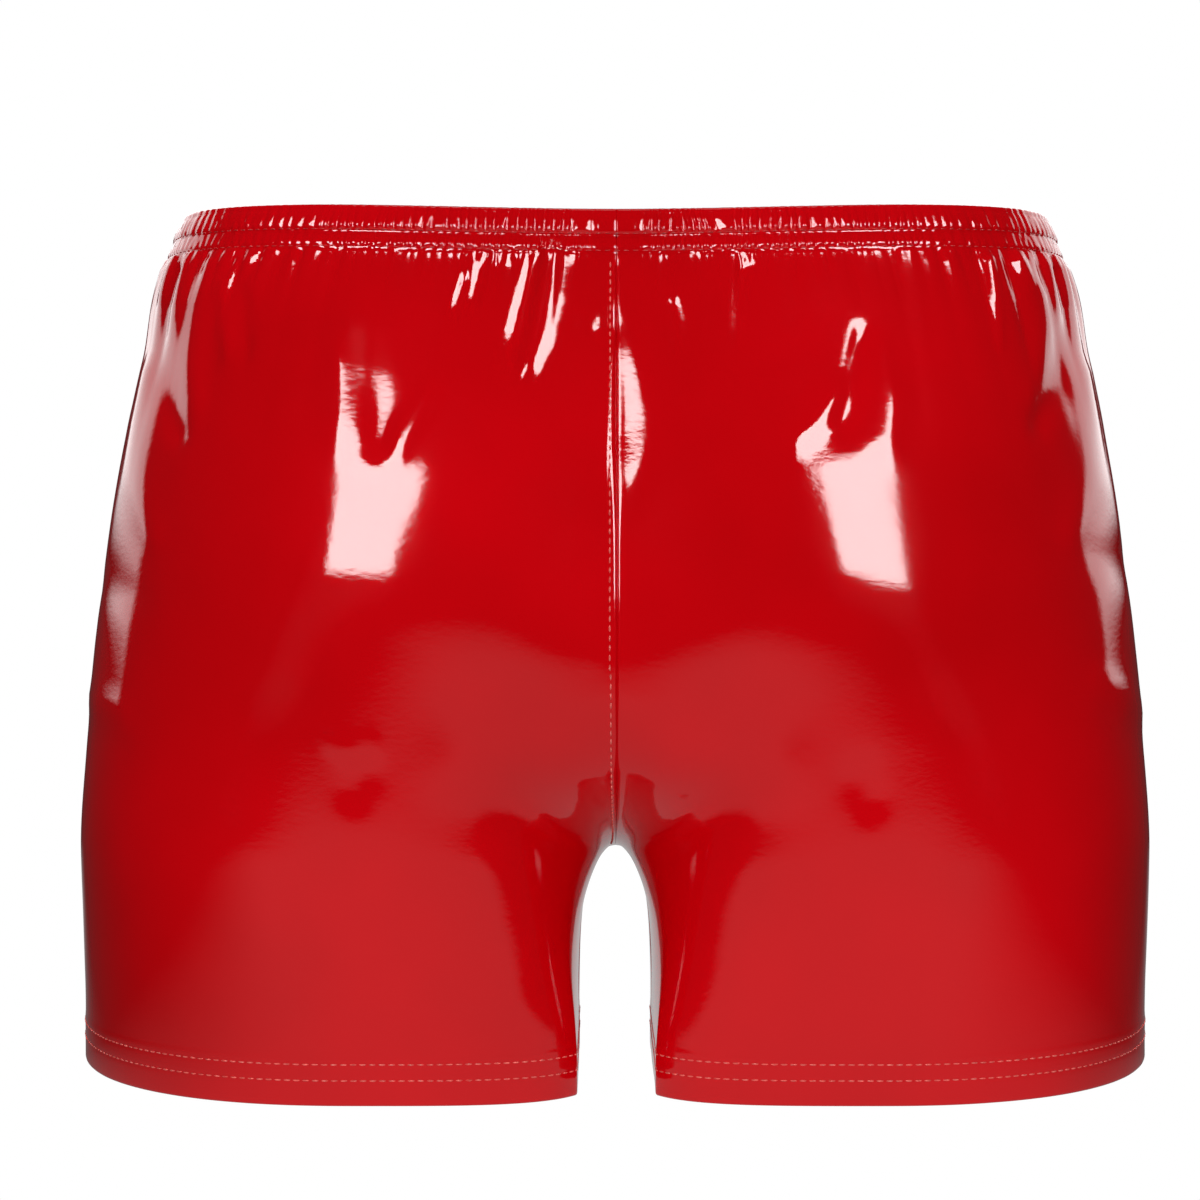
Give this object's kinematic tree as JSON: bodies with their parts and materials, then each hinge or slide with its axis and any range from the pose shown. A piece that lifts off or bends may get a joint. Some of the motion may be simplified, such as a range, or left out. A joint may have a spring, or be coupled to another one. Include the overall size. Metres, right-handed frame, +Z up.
{
  "type": "boxing shorts",
  "caption": "Short, high-gloss coated boxing shorts with a gathered elastic waist, a centre rise seam and twin-stitched hems, stood up as if worn.",
  "frame": {"origin": "on the plane of the hem edges, under the middle of the shorts", "axes": "+Z up from the hems to the waist, -Y out of the back of the shorts, +X to the wearer's right leg"},
  "size_m": [0.4082, 0.2348, 0.3185],
  "materials": {
    "shell": "high-gloss wet-look coated stretch cloth",
    "elastic": "knitted elastic",
    "thread": "polyester sewing thread",
    "label": "plain woven satin"
  },
  "bodies": {
    "shorts": {"left_panel": "shell", "right_panel": "shell", "waist_elastic": "elastic", "waist_stitch_lower": "thread", "waist_stitch_upper": "thread", "left_hem_stitch_lower": "thread", "left_hem_stitch_upper": "thread", "right_hem_stitch_lower": "thread", "right_hem_stitch_upper": "thread", "rise_topstitch": "thread", "rise_seam_thread": "thread", "left_inseam_thread": "thread", "right_inseam_thread": "thread", "label_stitch": "thread"},
    "label": {"size_label": "label"}
  },
  "joints": [
    {"name": "label_fold", "type": "hinge", "parent": "shorts", "child": "label", "pos_m": [0, -0.07527, 0.2952], "axis": [1, 0, 0], "range_deg": [0, 120]}
  ]
}
